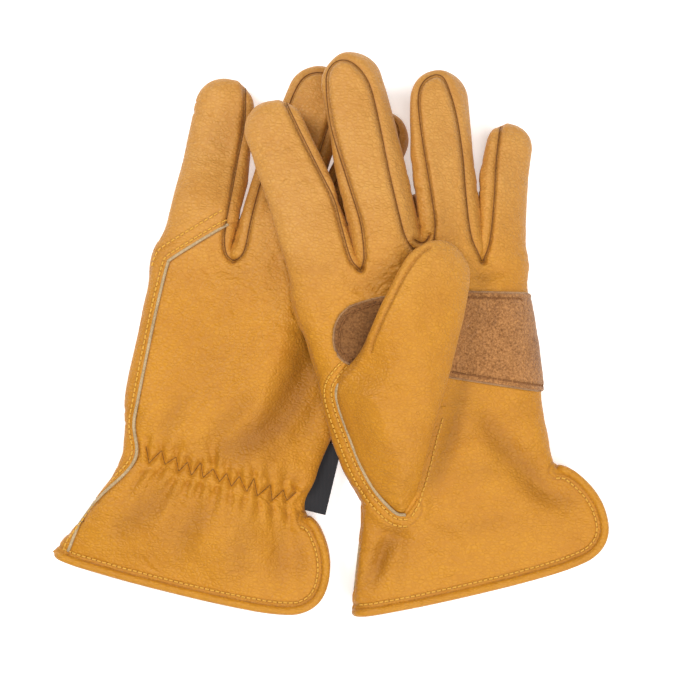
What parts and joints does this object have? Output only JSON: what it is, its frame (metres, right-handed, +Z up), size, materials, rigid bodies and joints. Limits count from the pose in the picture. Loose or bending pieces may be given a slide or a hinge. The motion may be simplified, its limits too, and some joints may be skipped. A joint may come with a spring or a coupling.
{
  "type": "pair of work gloves",
  "caption": "Pair of leather work gloves lying one across the other, with hollow fingers and thumbs, suede palm straps, elastic wrists and flared cuffs with rolled hems.",
  "frame": {"origin": "on the floor plane, under the middle of the pair's box", "axes": "+Z up out of the table, +Y from the cuffs to the fingertips, +X towards the left-hand glove, which lies on top"},
  "size_m": [0.2476, 0.256, 0.0576],
  "materials": {
    "grain_leather": "full grain, light pebble, semi-matt",
    "thumb_leather": "full grain, light pebble, semi-matt",
    "fourchette_leather": "full grain, light pebble, semi-matt",
    "binding_leather": "full grain, rolled, semi-matt",
    "suede": "rough suede split, matt",
    "elastic_tape": "knitted elastic tape, matt",
    "woven_tag": "woven ribbon, matt, plain"
  },
  "bodies": {
    "right_glove": {"right_back": "grain_leather", "right_cuff_binding": "binding_leather", "right_index_fourchette": "fourchette_leather", "right_index_wrap": "grain_leather", "right_little_back": "grain_leather", "right_little_fourchette": "fourchette_leather", "right_little_front": "grain_leather", "right_middle_back": "grain_leather", "right_middle_fourchette_inner": "fourchette_leather", "right_middle_fourchette_outer": "fourchette_leather", "right_middle_front": "grain_leather", "right_palm": "grain_leather", "right_palm_patch": "suede", "right_quirk_index_middle": "fourchette_leather", "right_quirk_middle_ring": "fourchette_leather", "right_quirk_ring_little": "fourchette_leather", "right_ring_back": "grain_leather", "right_ring_fourchette_inner": "fourchette_leather", "right_ring_fourchette_outer": "fourchette_leather", "right_ring_front": "grain_leather", "right_tag": "woven_tag", "right_wrist_elastic": "elastic_tape"},
    "right_thumb": {"right_thumb_back": "thumb_leather", "right_thumb_front": "thumb_leather"},
    "left_glove": {"left_back": "grain_leather", "left_cuff_binding": "binding_leather", "left_palm": "grain_leather", "left_palm_patch": "suede", "left_quirk_index_middle": "fourchette_leather", "left_quirk_middle_ring": "fourchette_leather", "left_quirk_ring_little": "fourchette_leather", "left_wrist_elastic": "elastic_tape"},
    "left_thumb": {"left_thumb_back": "thumb_leather", "left_thumb_front": "thumb_leather"},
    "left_index": {"left_index_wrap": "grain_leather", "left_index_fourchette": "fourchette_leather"},
    "left_middle": {"left_middle_front": "grain_leather", "left_middle_back": "grain_leather", "left_middle_fourchette_inner": "fourchette_leather", "left_middle_fourchette_outer": "fourchette_leather"},
    "left_ring": {"left_ring_front": "grain_leather", "left_ring_back": "grain_leather", "left_ring_fourchette_inner": "fourchette_leather", "left_ring_fourchette_outer": "fourchette_leather"},
    "left_little": {"left_little_front": "grain_leather", "left_little_back": "grain_leather", "left_little_fourchette": "fourchette_leather"}
  },
  "joints": [
    {"name": "left_glove_lift", "type": "slide", "parent": "right_glove", "child": "left_glove", "axis": [0, 0, 1], "range_m": [0, 0.12]},
    {"name": "right_thumb_swing", "type": "hinge", "parent": "right_glove", "child": "right_thumb", "pos_m": [-0.08302, -0.05751, 0.004], "axis": [0, 0, 1], "range_deg": [0, 60]},
    {"name": "left_thumb_lift", "type": "hinge", "parent": "left_glove", "child": "left_thumb", "pos_m": [0.03035, -0.07739, 0.02919], "axis": [0.9863, 0.165, 0], "range_deg": [0, 60]},
    {"name": "left_index_curl", "type": "hinge", "parent": "left_glove", "child": "left_index", "pos_m": [-0.00503, 0.0371, 0.04576], "axis": [0.9342, 0.3567, 0], "range_deg": [0, 70]},
    {"name": "left_middle_curl", "type": "hinge", "parent": "left_glove", "child": "left_middle", "pos_m": [0.02185, 0.04766, 0.04548], "axis": [0.9796, 0.2011, 0], "range_deg": [0, 70]},
    {"name": "left_ring_curl", "type": "hinge", "parent": "left_glove", "child": "left_ring", "pos_m": [0.04947, 0.04914, 0.03743], "axis": [0.9997, 0.0244, 0], "range_deg": [0, 70]},
    {"name": "left_little_curl", "type": "hinge", "parent": "left_glove", "child": "left_little", "pos_m": [0.07376, 0.04779, 0.02568], "axis": [0.989, -0.1478, 0], "range_deg": [0, 70]}
  ]
}
